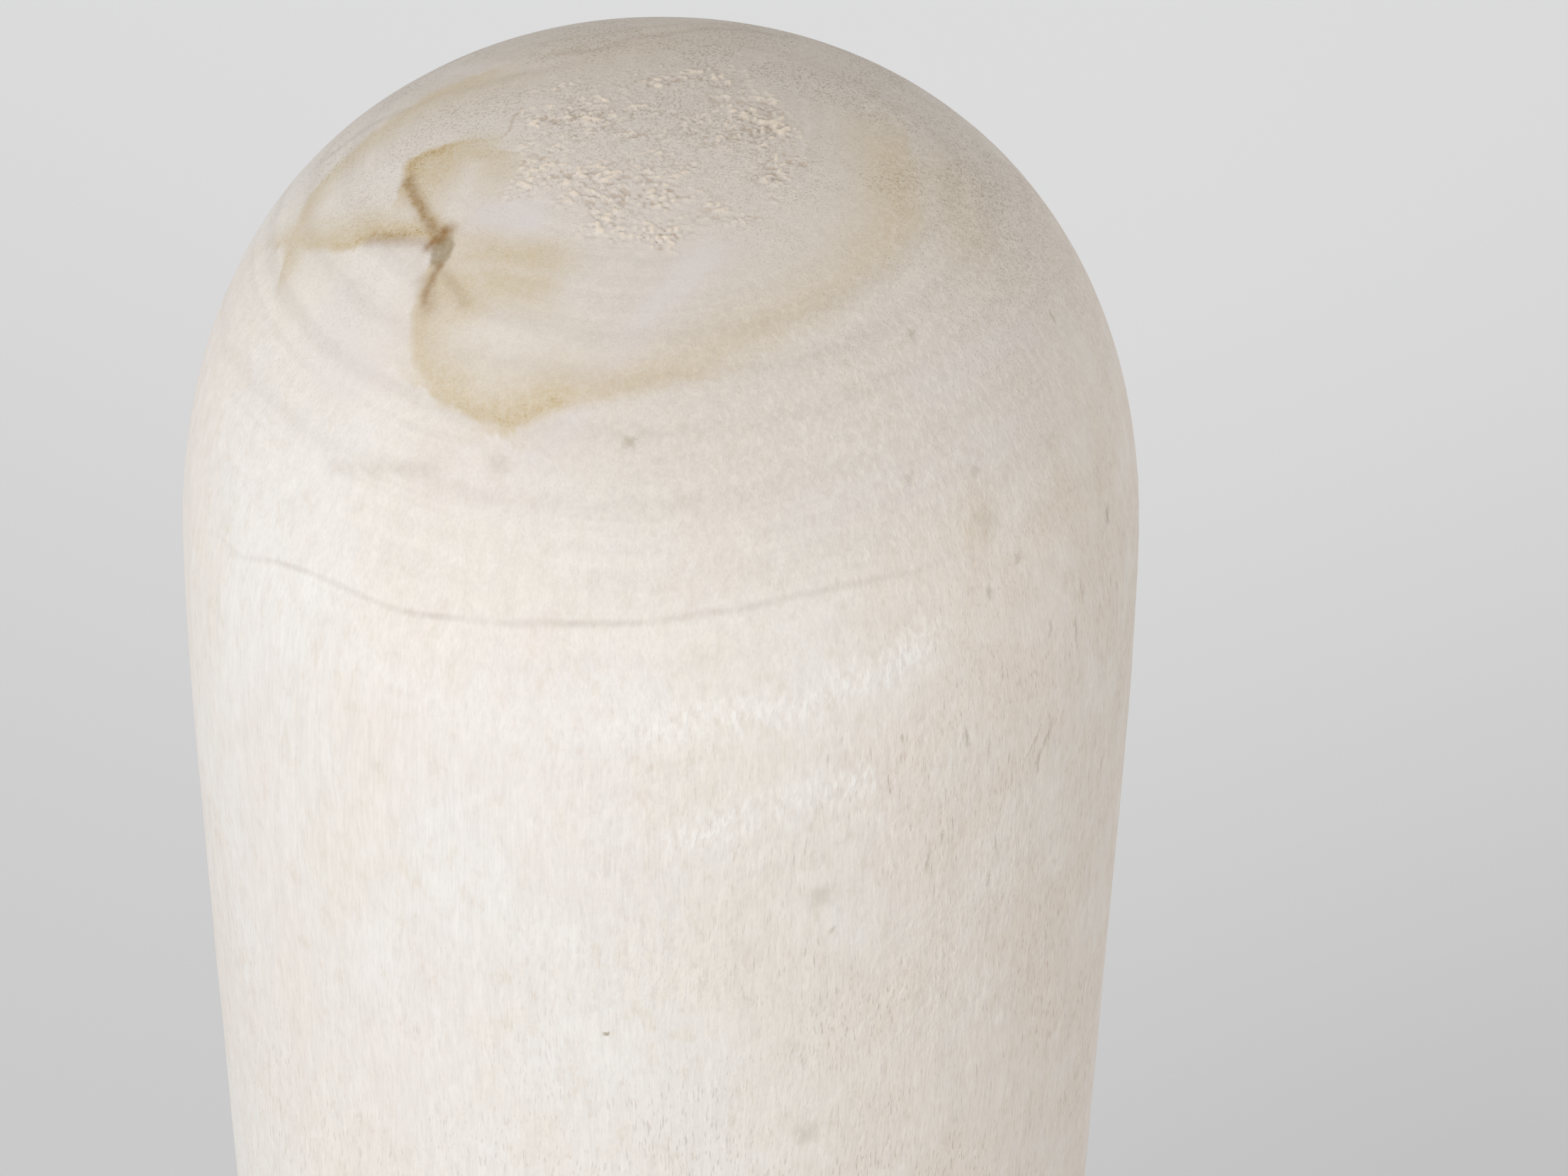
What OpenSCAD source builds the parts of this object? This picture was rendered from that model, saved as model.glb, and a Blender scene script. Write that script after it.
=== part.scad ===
// Turned wooden kokeshi doll: a tall domed head that turns on its neck peg in a waisted body.
// Millimetres, +Z up. The origin is the centre of the felt foot, on the surface the doll stands on.

/* [Head] */
// Widest diameter of the head, on the line where the dome meets the side
head_d = 112; // [100:1:124]
// Height of the head, from its flat underside to the crown
head_h = 189; // [180:1:204]
// Height of the dome above the widest line
dome_h = 64; // [52:1:76]
// Fullness of the dome: 2 is an ellipse, a higher value has squarer shoulders
dome_power = 2.6; // [2:0.1:3.2]
// How much the radius narrows for each millimetre down the side
side_taper = 0.024; // [0:0.004:0.048]
// Height over which the upright side bends into its taper
taper_bend_h = 17; // [8:1:30]
// Height of the rounded chin
chin_h = 34; // [24:1:42]
// Diameter of the flat underside that the head turns on
seat_d = 64; // [56:1:72]

/* [Body] */
// Height of the body's turned top above the floor
body_h = 265; // [240:1:300]
// Diameter of the foot band
foot_d = 120; // [108:1:130]
// Height of the foot band
foot_h = 12; // [8:1:18]
// Diameter at the waist, the narrowest line
waist_d = 98; // [90:1:106]
// Height of the waist above the floor
waist_z = 112; // [90:1:140]
// Diameter at the shoulder, under its round
shoulder_d = 116; // [108:1:122]
// Height of the shoulder's round
shoulder_h = 26; // [16:1:34]
// Diameter of the raised ring that the head sits on
collar_d = 72; // [68:1:80]
// Height of the raised ring
collar_h = 6; // [4:0.5:10]
// Depth of the incised turning lines
line_depth = 0.9; // [0.4:0.1:1.4]
// Distance between the two turning lines of a pair
line_step = 5; // [3:0.5:8]

/* [Neck peg] */
// Diameter of the peg
peg_d = 26; // [20:0.5:32]
// Length of peg glued up inside the head
peg_in_head = 48; // [30:1:60]
// Length of peg standing down inside the body
peg_in_body = 44; // [34:1:60]
// How far the retaining bead stands out of the peg
bead_out = 1.5; // [0.8:0.1:2.5]
// Radial running clearance between the peg and the body's socket
running_gap = 0.06; // [0.02:0.01:0.1]

/* [Felt foot] */
// Thickness of the felt disc
felt_t = 3; // [2:0.5:5]
// How far the felt stands out below the wood
felt_out = 1; // [0.5:0.1:1.5]
// Width of the wooden rim left round the felt
felt_rim = 7; // [5:0.5:12]

/* [Hidden] */

$fn = 96;
head_r = head_d / 2;
foot_r = foot_d / 2;
waist_r = waist_d / 2;
shoulder_r = shoulder_d / 2;
collar_r = collar_d / 2;
peg_r = peg_d / 2;

// Gap between the head's underside and the collar, so that the head turns without binding
thrust_gap = 0.2;
// Glue film between the peg and the head, and between the felt and the wall of its recess
glue_gap = 0.05;
felt_gap = 0.5;
// Free depth under the peg's end and above it
peg_end_gap = 2;
// Bevel on both ends of the peg, and the mouth bevel of the socket
peg_bevel = 1.5;
// Cross-section radius of the bead, and the room left round it in the body's groove
bead_r = 3;
bead_room = 0.4;
// Half width of one turning line
line_r = 1.1;
// Rounded edges of the foot band and of the collar
foot_round = 2.5;
collar_round = 1.6;
// Rings in each curved stretch of an outline
STEPS = 28;
ARC_STEPS = 10;

head_z = body_h + thrust_gap;
wide_z = head_z + head_h - dome_h;
chin_top_z = head_z + chin_h;
felt_top_z = felt_t;
wood_z = felt_out;
shoulder_z = body_h - collar_h - shoulder_h;
foot_top_z = wood_z + foot_h;
bead_z = head_z - peg_in_body * 0.6;

// Heights of the turning lines: a pair above the foot, a pair under the shoulder
LINES = [
    foot_top_z + line_step,
    foot_top_z + 2 * line_step,
    shoulder_z - 2 * line_step,
    shoulder_z - line_step
];

// Radius of the head's side at depth d below the widest line: upright, then a bend, then the taper
function side_r(d) =
    head_r - side_taper * (d < taper_bend_h ? d * d / (2 * taper_bend_h) : d - taper_bend_h / 2);

// Points of a quarter round of half-axes a and b, from angle 0 at the side to 90 at the end
function round_points(a, b, power, steps) =
    [for (i = [0:steps]) let (t = 90 * i / steps) [a * pow(cos(t), 2 / power), b * pow(sin(t), 2 / power)]];

// Radius of the body at height z, between the foot band and the shoulder
function body_r(z) =
    z < waist_z
    ? waist_r + (foot_r - waist_r) * pow((waist_z - z) / (waist_z - foot_top_z), 2.2)
    : let (t = (z - waist_z) / (shoulder_z - waist_z))
      waist_r + (shoulder_r - waist_r) * t * t * (3 - 2 * t);

// The head: dome, upright band, taper, chin and the flat seat, bored from below for the peg
module head() {
    side_low = wide_z - chin_top_z;
    chin_r = side_r(side_low);
    dome = [for (p = round_points(head_r, dome_h, dome_power, STEPS)) [p[0], wide_z + p[1]]];
    side = [for (i = [1:STEPS - 1]) let (d = side_low * i / STEPS) [side_r(d), wide_z - d]];
    chin = [
        for (p = round_points(chin_r - seat_d / 2, chin_h, 2, ARC_STEPS))
            [seat_d / 2 + p[0], chin_top_z - p[1]]
    ];
    color("antiquewhite")
    difference() {
        rotate_extrude() polygon(concat([for (i = [STEPS:-1:0]) dome[i]], side, chin, [[0, head_z]]));
        translate([0, 0, head_z - peg_end_gap])
            cylinder(r = peg_r + glue_gap, h = peg_in_head + 2 * peg_end_gap);
    }
}

// The neck peg: glued up in the head, with a bead that snaps into the body's groove and turns there
module neck_peg() {
    low = head_z - peg_in_body;
    length = peg_in_head + peg_in_body;
    color("burlywood")
    union() {
        translate([0, 0, low]) cylinder(r1 = peg_r - peg_bevel, r2 = peg_r, h = peg_bevel);
        translate([0, 0, low + peg_bevel]) cylinder(r = peg_r, h = length - 2 * peg_bevel);
        translate([0, 0, low + length - peg_bevel]) cylinder(r1 = peg_r, r2 = peg_r - peg_bevel, h = peg_bevel);
        translate([0, 0, bead_z])
            rotate_extrude() translate([peg_r + bead_out - bead_r, 0]) circle(r = bead_r, $fn = 48);
    }
}

// One incised turning line round the body at height z
module turning_line(z) {
    translate([0, 0, z])
        rotate_extrude() translate([body_r(z) + line_r - line_depth, 0]) circle(r = line_r, $fn = 32);
}

// The body: foot band, waist, shoulder and collar, with the head's socket and the felt's recess
module body() {
    socket_depth = peg_in_body - thrust_gap + peg_end_gap;
    foot = [
        for (p = round_points(foot_round, foot_round, 2, ARC_STEPS))
            [foot_r - foot_round + p[0], wood_z + foot_round - p[1]]
    ];
    trunk = [
        for (i = [0:2 * STEPS]) let (z = foot_top_z + (shoulder_z - foot_top_z) * i / (2 * STEPS)) [body_r(z), z]
    ];
    shoulder = [
        for (p = round_points(shoulder_r - collar_r, shoulder_h, 2.2, ARC_STEPS))
            [collar_r + p[0], shoulder_z + p[1]]
    ];
    collar = [
        for (p = round_points(collar_round, collar_round, 2, ARC_STEPS))
            [collar_r - collar_round + p[0], body_h - collar_round + p[1]]
    ];
    color("linen")
    difference() {
        rotate_extrude()
            polygon(concat(
                [[0, wood_z]],
                [for (i = [ARC_STEPS:-1:0]) foot[i]],
                trunk,
                [for (i = [1:ARC_STEPS]) shoulder[i]],
                collar,
                [[0, body_h]]
            ));
        translate([0, 0, body_h - socket_depth])
            cylinder(r = peg_r + running_gap, h = socket_depth + 1);
        translate([0, 0, body_h - peg_bevel])
            cylinder(r1 = peg_r + running_gap, r2 = peg_r + running_gap + 2 * peg_bevel, h = 2 * peg_bevel);
        translate([0, 0, bead_z])
            rotate_extrude()
                translate([peg_r + bead_out - bead_r, 0]) circle(r = bead_r + bead_room, $fn = 48);
        translate([0, 0, wood_z - 1])
            cylinder(r = foot_r - felt_rim, h = felt_top_z - wood_z + 1);
        for (z = LINES) turning_line(z);
    }
}

// The felt foot: a disc glued in the recess, standing a little proud of the wood
module felt_foot() {
    color("slategray")
        cylinder(r = foot_r - felt_rim - felt_gap, h = felt_t);
}

head();
neck_peg();
body();
felt_foot();
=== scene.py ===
"""A turned, limewashed kokeshi doll: the looks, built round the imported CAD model.

Lengths are in metres. Places on the head are given on its crown map: how far a point lies from the
crown along the surface, in millimetres, and in which direction, with +X right and +Y to the back.
"""

import math

import bpy
import numpy as np
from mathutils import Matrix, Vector


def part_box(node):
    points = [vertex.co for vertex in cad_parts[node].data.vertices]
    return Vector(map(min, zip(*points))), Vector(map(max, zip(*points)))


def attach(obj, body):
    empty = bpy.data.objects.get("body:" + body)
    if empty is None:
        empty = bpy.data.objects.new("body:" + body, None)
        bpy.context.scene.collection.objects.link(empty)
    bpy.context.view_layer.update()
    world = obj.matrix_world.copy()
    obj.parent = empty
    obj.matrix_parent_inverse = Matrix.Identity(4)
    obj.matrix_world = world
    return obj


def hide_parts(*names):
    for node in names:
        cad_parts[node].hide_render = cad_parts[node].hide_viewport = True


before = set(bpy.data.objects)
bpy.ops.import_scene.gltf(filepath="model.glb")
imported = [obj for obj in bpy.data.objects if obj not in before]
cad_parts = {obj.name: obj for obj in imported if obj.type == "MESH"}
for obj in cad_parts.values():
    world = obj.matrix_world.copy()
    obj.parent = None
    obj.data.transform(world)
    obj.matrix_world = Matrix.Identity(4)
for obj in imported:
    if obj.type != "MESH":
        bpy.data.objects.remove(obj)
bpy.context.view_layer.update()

MM = 0.001

# ---------------------------------------------------------------- sizes, from the CAD boxes
head_low, head_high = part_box("head")
body_low, body_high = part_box("body")
peg_low, peg_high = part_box("neck_peg")
felt_low, felt_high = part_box("felt_foot")

# The head's outline, by the same rules as the CAD model's
HEAD_R = (head_high.x - head_low.x) / 2
DOME_H = 64 * MM
DOME_POWER = 2.6
SIDE_TAPER = 0.024
TAPER_BEND_H = 17 * MM
CHIN_H = 34 * MM
SEAT_R = 32 * MM
WIDE_Z = head_high.z - DOME_H
CHIN_TOP_Z = head_low.z + CHIN_H

# The body's outline
FOOT_R = 60 * MM
FOOT_H = 12 * MM
FOOT_ROUND = 2.5 * MM
WAIST_R = 49 * MM
WAIST_Z = 112 * MM
FLARE_POWER = 2.2
SHOULDER_R = 58 * MM
SHOULDER_H = 26 * MM
SHOULDER_POWER = 2.2
COLLAR_R = 36 * MM
COLLAR_H = 6 * MM
COLLAR_ROUND = 1.6 * MM
LINE_STEP = 5 * MM
LINE_R = 1.1 * MM
LINE_DEPTH = 0.9 * MM
BODY_TOP = body_high.z
WOOD_Z = body_low.z
FOOT_TOP_Z = WOOD_Z + FOOT_H
SHOULDER_Z = BODY_TOP - COLLAR_H - SHOULDER_H
LINES = [
    FOOT_TOP_Z + LINE_STEP,
    FOOT_TOP_Z + 2 * LINE_STEP,
    SHOULDER_Z - 2 * LINE_STEP,
    SHOULDER_Z - LINE_STEP,
]

# The peg, its seat in the head and its socket in the body
PEG_R = 13 * MM
GLUE_GAP = 0.05 * MM
RUNNING_GAP = 0.06 * MM
PEG_END_GAP = 2 * MM
SOCKET_BEVEL = 1.5 * MM
BEAD_R = (peg_high.x - peg_low.x) / 2
BEAD_ROOM = 0.4 * MM
BEAD_SECTION_R = 3 * MM
# How far down the peg's part in the body its bead sits, as a share of that part
BEAD_DEPTH_SHARE = 0.6
BEAD_Z = head_low.z - (head_low.z - peg_low.z) * BEAD_DEPTH_SHARE
# A height between the body's felt recess and its socket
MID_BODY_Z = 0.1

# The felt foot and its recess
FELT_R = (felt_high.x - felt_low.x) / 2
FELT_GAP = 0.5 * MM
FELT_EDGE = 0.8 * MM
FELT_DRAFT = 0.2 * MM

# Vertices round a ring: in the torn end grain, on the dome and everywhere else
CROWN_AROUND = 640
DOME_AROUND = 480
AROUND = 256
FEWEST_AROUND = 12
# Vertices round a ring stand at least this far apart
SLIVER = 0.14 * MM
# The smallest ring: on the crown, and at the middle of a flat end
CROWN_TIP_R = 0.12 * MM
END_TIP_R = 0.5 * MM
# How far from the crown the two finer counts round reach
CROWN_REACH = 19 * MM
DOME_REACH = 46 * MM
# Between rings, in mm: on the crown by distance from it, on the trunk by distance from a line
CROWN_SPACING = [0, 19, 21, 46, 54, 99], [0.21, 0.22, 0.42, 0.46, 0.95, 1.05]
TRUNK_SPACING = [0, 1.4, 2.4, 5], [0.12, 0.16, 0.7, 1.35]
# A margin for telling one surface from the next
HAIR = 0.1 * MM


# ---------------------------------------------------------------- small numeric tools
def smooth(low, high, x):
    """0 below low, 1 above high, and an S-curve between. With low above high it falls instead."""
    t = np.clip((x - low) / (high - low), 0.0, 1.0)
    return t * t * (3 - 2 * t)


def lattice(ix, iy, iz, seed):
    """A fixed random value from -1 to 1 for each point of a whole-number lattice.
    The large numbers only scramble the bits."""
    h = (ix * 374761393 + iy * 668265263 + iz * 2147483647 + seed * 1274126177) & 0xFFFFFFFF
    h = ((h ^ (h >> 13)) * 1274126177) & 0xFFFFFFFF
    h = ((h ^ (h >> 16)) * 668265263) & 0xFFFFFFFF
    return (h ^ (h >> 15)).astype(float) / 0x7FFFFFFF - 1.0


def noise(points, size, seed):
    """Smooth noise from -1 to 1 at points (n by 3). Its lumps are about size mm long: one value, or
    one for each axis."""
    q = points / (np.asarray(size, float) * MM)
    base = np.floor(q).astype(np.int64)
    f = q - base
    f = f * f * (3 - 2 * f)
    total = np.zeros(len(points))
    for corner in np.ndindex(2, 2, 2):
        weight = np.prod(np.where(corner, f, 1 - f), axis=1)
        total += weight * lattice(*(base + corner).T, seed)
    return total


def travelled(points):
    """How far along a polyline each of its points lies."""
    return np.concatenate([[0], np.cumsum(np.hypot(*np.diff(points, axis=0).T))])


def resample(points, spacing):
    """The polyline as evenly spaced points, about spacing apart, with both ends kept."""
    points = np.asarray(points, float)
    along = travelled(points)
    count = max(1, int(round(along[-1] / spacing)))
    at = np.linspace(0, along[-1], count + 1)
    return np.column_stack([np.interp(at, along, points[:, 0]), np.interp(at, along, points[:, 1])])


def round_points(a, b, power, count=400):
    """A quarter round of half-axes a and b, from the side to the end."""
    t = np.linspace(0, math.pi / 2, count)
    return np.column_stack([a * np.cos(t) ** (2 / power), b * np.sin(t) ** (2 / power)])


# ---------------------------------------------------------------- turned meshes
class Outline:
    """Rings of a turned shape in order: radius, height and number of vertices."""

    def __init__(self):
        self.radius, self.height, self.count = [], [], []

    def add(self, points, spacing, around):
        """Adds a stretch, with rings about spacing mm apart, or one at each point if that is None.
        around is the number of vertices round each ring, halved where the ring is small."""
        rings = points if spacing is None else resample(points, spacing * MM)
        start = 1 if self.radius else 0
        for r, z in rings[start:]:
            count = around
            while count > FEWEST_AROUND and count * SLIVER > 2 * math.pi * r:
                count //= 2
            self.radius.append(max(r, 0.0))
            self.height.append(z)
            self.count.append(count)

    def along(self):
        """Each ring's distance from the first one along the outline."""
        steps = np.hypot(np.diff(self.radius), np.diff(self.height))
        return np.concatenate([[0], np.cumsum(steps)])

    def normals(self):
        """Outward normals of the outline, as (radial, vertical). It runs from the crown down."""
        r, z = np.array(self.radius), np.array(self.height)
        dr, dz = np.gradient(r), np.gradient(z)
        length = np.hypot(dr, dz) + 1e-15
        return -dz / length, dr / length


def stitch(faces, a, n, b, m):
    """Faces between ring a of n vertices and the next ring b of m vertices."""
    if n == m:
        for i in range(n):
            j = (i + 1) % n
            faces.append((a + i, b + i, b + j, a + j))
        return
    i = j = 0
    while i < n or j < m:
        if j == m or (i < n and (i + 1) * m <= (j + 1) * n):
            faces.append((a + i, b + j % m, a + (i + 1) % n))
            i += 1
        else:
            faces.append((a + i % n, b + j, b + (j + 1) % m))
            j += 1


def turned_piece(name, outline, relief, fields):
    """A closed mesh of the outline turned about the vertical axis.
    relief(place) gives each vertex's height above the plain surface, fields its painted values."""
    counts = np.array(outline.count)
    starts = np.concatenate([[0], np.cumsum(counts)])
    ring = np.repeat(np.arange(len(counts)), counts)
    step = np.arange(starts[-1]) - starts[ring]
    angle = 2 * math.pi * step / counts[ring]
    radial, vertical = outline.normals()
    place = {
        "angle": angle,
        "radius": np.array(outline.radius)[ring],
        "height": np.array(outline.height)[ring],
        "along": outline.along()[ring],
    }
    place["flat"] = np.column_stack([np.sin(angle), -np.cos(angle)])
    place["xyz"] = np.column_stack([place["flat"] * place["radius"][:, None], place["height"]])
    out = np.column_stack([place["flat"] * radial[ring][:, None], vertical[ring]])
    points = place["xyz"] + out * relief(place)[:, None]
    faces = []
    for k in range(len(counts) - 1):
        stitch(faces, int(starts[k]), int(counts[k]), int(starts[k + 1]), int(counts[k + 1]))
    first = tuple(range(int(counts[0])))
    last = tuple(reversed(range(int(starts[-2]), int(starts[-1]))))
    faces += [first, last]
    mesh = bpy.data.meshes.new(name)
    mesh.from_pydata(points.tolist(), [], faces)
    mesh.polygons.foreach_set("use_smooth", np.ones(len(faces), bool))
    for field, values in fields(place).items():
        layer = mesh.attributes.new(field, "FLOAT", "POINT")
        layer.data.foreach_set("value", values.astype(np.float32))
    mesh.update()
    return placed(name, mesh)


def placed(name, data):
    """A new object in the scene."""
    made = bpy.data.objects.new(name, data)
    bpy.context.scene.collection.objects.link(made)
    return made


# ---------------------------------------------------------------- the head's shape
def side_radius(d):
    bend = np.where(d < TAPER_BEND_H, d * d / (2 * TAPER_BEND_H), d - TAPER_BEND_H / 2)
    return HEAD_R - SIDE_TAPER * bend


def crown_rings(first, last):
    """Rings between two distances from the crown: fine in the torn end grain and round the knot."""
    fine = round_points(HEAD_R, DOME_H, DOME_POWER, 6000)[::-1]
    along = travelled(fine)
    rings, s, last = [], first, min(last, along[-1])
    while s < last:
        rings.append(s)
        s += float(np.interp(s / MM, *CROWN_SPACING)) * MM
    rings.append(last)
    r = np.interp(rings, along, fine[:, 0])
    z = np.interp(rings, along, fine[:, 1])
    return np.column_stack([r, WIDE_Z + z])


def head_outline():
    outline = Outline()
    outline.add(crown_rings(CROWN_TIP_R, CROWN_REACH), None, CROWN_AROUND)
    outline.add(crown_rings(CROWN_REACH, DOME_REACH), None, DOME_AROUND)
    outline.add(crown_rings(DOME_REACH, math.inf), None, AROUND)
    depth = np.linspace(0, WIDE_Z - CHIN_TOP_Z, 300)
    outline.add(np.column_stack([side_radius(depth), WIDE_Z - depth]), 1.35, AROUND)
    chin_r = float(side_radius(WIDE_Z - CHIN_TOP_Z))
    chin = round_points(chin_r - SEAT_R, CHIN_H, 2) * [1, -1] + [SEAT_R, CHIN_TOP_Z]
    outline.add(chin, 1.5, AROUND // 2)
    bore_r = PEG_R + GLUE_GAP
    bore_top = peg_high.z + PEG_END_GAP
    outline.add([(SEAT_R, head_low.z), (bore_r, head_low.z)], 4, AROUND // 4)
    outline.add([(bore_r, head_low.z), (bore_r, bore_top)], 12, AROUND // 4)
    outline.add([(bore_r, bore_top), (END_TIP_R, bore_top)], 6, AROUND // 4)
    return outline


# ---------------------------------------------------------------- the head's figure
# Radius of the torn end grain round the crown, mm
TORN_R = 17.2
# Where the torn fibre is thickest: x, y, half width, half depth in mm, and strength
TORN_CLUSTERS = [
    (-5, -8, 9, 5.5, 0.7), (-9, 5.5, 5, 4, 0.7), (4, 13.5, 8, 2.6, 0.6),
    (12, 4.5, 4.5, 4, 0.8), (12, -4.5, 4, 3, 0.45), (-1, -15.5, 4, 2, 0.6),
    (-14, -3, 3.5, 4, 0.4),
]
# The knot's core on the crown map: centre and half sizes in mm, and tilt in degrees
KNOT = {"at": (-24.6, -14.1), "half": (1.25, 2.2), "tilt": -18}
# Stain edges on the crown map. Each is sharp on one side and fades to the other: its stained side
# (1 is left of the way), the softness of its sharp side in mm, its strength at both ends, how far
# it fades in mm at both ends, and its points
STAINS = [
    (-1, 0.9, (1.0, 1.0), (1.6, 3.8), [
        (-24.9, -12.1), (-26.6, -9.8), (-27.6, -6.3), (-29.3, -2), (-29.7, 1.2), (-28.6, 3.3),
        (-25.1, 3.4)
    ]),
    (-1, 1.3, (0.95, 0.5), (4.4, 3.4), [
        (-29.3, 0), (-28.4, 2.8), (-25.1, 3.4), (-21.8, 2.2), (-18.6, 1)
    ]),
    (-1, 0.8, (1.0, 0.6), (2.8, 4.0), [
        (-25.7, -12.6), (-29.2, -10.6), (-33.7, -9.4), (-38.5, -7.4), (-44.1, -2.6), (-47, 0)
    ]),
    (-1, 1.6, (0.7, 0.5), (3.6, 3.8), [
        (-46.4, -3), (-45.4, 1), (-43.4, 5.1), (-39.4, 9.2), (-34.6, 12.6), (-29.3, 16),
        (-22.4, 18.8)
    ]),
    (1, 0.9, (0.6, 0.68), (4.2, 5.0), [
        (-26.3, -17.3), (-27.8, -20.6), (-28.6, -25), (-27.8, -29.6), (-25.4, -33.4), (-22, -36.2)
    ]),
    (1, 0.9, (0.68, 0.88), (5.0, 4.6), [
        (-25.4, -33.4), (-22, -36.2), (-18.6, -37.7), (-15.4, -37.9), (-12.4, -37.2)
    ]),
    (1, 1.6, (0.78, 0.5), (4.4, 4.0), [
        (-15.4, -38), (-11.5, -37.2), (-7.4, -36.8), (-2, -35.4), (2.2, -34.4)
    ]),
    (1, 3.2, (0.45, 0.38), (4.4, 6.4), [
        (2.2, -34.4), (8.5, -31), (14.8, -26.8), (21.4, -21), (26, -13.5), (28.4, -6.5), (28.4, 2)
    ]),
]
# The strokes from here on are each given by half width in mm, strength and points.
# Broad soft tan washes on the crown map
WASHES = [
    (2.7, 0.56, [(-26.4, -14), (-20.6, -15.4), (-15.4, -17), (-10.6, -18.6), (-5.6, -19.8)]),
    (3.4, 0.56, [(-25, -17.4), (-20, -19.4), (-14.6, -21.4), (-8, -23)]),
    (3.4, 0.5, [(-24.6, -15.4), (-22, -21), (-19.6, -27)]),
    (3.2, 0.42, [(-27.2, -0.6), (-24, -1.4), (-21.4, -1)]),
    (2.8, 0.28, [(-28, -8), (-33, -6.4), (-39, -3)]),
    (3.6, 0.26, [(-22, -3), (-18.5, -4), (-15, -5)]),
    (2.2, 0.3, [(-24, 3.4), (-20, 2.4), (-17, 1.4)]),
    (4.5, 0.24, [(21, -20), (26, -11), (27, -2), (24, 8), (17, 14)]),
    (6.0, 0.26, [(34, -18), (35, -8), (33, 4), (29, 12)]),
    (3.2, 0.17, [(39, -35), (42, -42), (40, -49)]),
    (3.0, 0.13, [(54, -23), (55, -32), (51, -42)]),
    (6.5, 0.17, [(-36, 8), (-28, 12), (-18, 17), (-6, 21), (6, 25), (18, 22)]),
    (8.0, 0.13, [(60, -44), (63, -30), (66, -12)]),
]
# Dark edges and cracks round the knot
CRACKS = [
    (0.85, 0.82, [(-24, -11), (-24.9, -12.2), (-26.2, -13)]),
    (0.6, 0.66, [(-24.9, -16.2), (-25.6, -17.4), (-26.4, -18.8), (-26.9, -20.6)]),
    (0.7, 0.22, [(-24.4, -17.4), (-23.3, -19.6), (-22.1, -22.2)]),
    (1.3, 0.32, [(-26.4, -18), (-26.6, -19.6), (-26.4, -21.6)]),
    (0.95, 0.4, [(-26, -12.7), (-27.8, -11.6), (-30.2, -10.4), (-33.4, -9)]),
    (0.8, 0.6, [(-25, -11.4), (-26.4, -8.6), (-27.5, -5.6), (-28.3, -3), (-28.7, -1)]),
    (0.2, 0.35, [(-15.8, 8.4), (-16.8, 6), (-17.3, 3.7)]),
]
# Fine brown arcs behind the crown
ARCS = [
    (0.95, 0.18, [(-43.7, -34), (-38.4, -37), (-32.5, -39.7), (-25, -41.8)]),
    (0.9, 0.22, [(-44, 13), (-35, 16), (-27.4, 15.4), (-17.2, 16.2), (-7.5, 18.8)]),
    (0.6, 0.36, [(-14, 22), (-8.3, 21.4), (-2.7, 24.2), (6.5, 28.6), (16, 29)]),
    (0.5, 0.2, [(-16, 26), (-6, 26.6), (2, 30), (12, 32.5)]),
    (1.2, 0.13, [(5.6, 24.7), (15.4, 21.4), (24.4, 16.4), (33, 10), (40, 2)]),
]
# Wide soft lavender-white bands
PALE_BANDS = [
    (2.8, 0.95, [(-22, -9), (-18, -10.5), (-12, -12)]),
    (2.3, 0.8, [
        (-19, -45), (-14.5, -41.6), (-9.5, -37.4), (-6, -33.4), (-1, -26.3), (3.7, -20.6),
        (9.6, -13)
    ]),
    (2.2, 0.4, [(-33, 26), (-28.4, 25), (-19.1, 20.2), (-12.4, 18.6), (-7.4, 16.8)]),
    (3.2, 0.45, [(25.8, -33.8), (36, -26), (47.4, -12.3)]),
    (3.4, 0.35, [(8, -52), (24, -45), (38, -36), (54, -20)]),
    (4.5, 0.4, [(-34, -30), (-38, -20), (-42, -14)]),
]
# Raised cream bands below the widest line
FLECK_BANDS = [
    (2.6, 0.4, [(-50.6, -53.7), (-35.9, -66.1), (-26, -71), (-18.6, -73.2), (-8, -74.2)]),
    (2.7, 0.78, [
        (-12, -73.8), (-1.3, -73.7), (7, -72.3), (18.6, -70.5), (26.7, -66.6), (33.9, -62.5),
        (42, -53)
    ]),
    (2.4, 0.35, [(-35.4, -78.2), (-23.9, -85.1), (-12, -87.4), (-3, -88.4)]),
    (2.6, 0.9, [(-3, -89.4), (6, -88.5), (14.2, -85.1), (21.4, -82.9), (32.1, -78.9), (39, -74)]),
]
# The body's knot on its unrolled side: centre, and half sizes of core and tan halo, mm
BODY_KNOT = {"at": (22.0, 158.0), "half": (3.0, 4.6), "halo": (6.5, 10.5)}
# Soft tan streaks on the body's unrolled side, beside its knot and at the back
BODY_STREAKS = [
    (2.6, 0.28, [(22, 164), (21, 178), (23.5, 196), (24, 214)]),
    (2.9, 0.26, [(22.5, 152), (24, 138), (21.5, 118), (22, 98)]),
    (3.4, 0.18, [(-96, 60), (-97, 90), (-94, 128), (-95, 160)]),
]
# Growth-ring lines on the body's unrolled side. Two of them part round its knot
BODY_LINES = [
    (0.5, 0.2, [(17, 60), (16.5, 100), (13.5, 132), (13, 158), (14.5, 184), (18, 214), (18, 240)]),
    (0.5, 0.2, [(28, 64), (28.5, 106), (31, 136), (31.5, 158), (30, 182), (27.5, 214), (27, 240)]),
    (0.8, 0.2, [(-38, 30), (-41, 80), (-44, 128), (-41, 176), (-36, 236)]),
    (0.8, 0.18, [(-118, 24), (-122, 90), (-119, 150), (-124, 236)]),
    (0.8, 0.18, [(96, 26), (99, 84), (94, 140), (98, 232)]),
]
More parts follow.
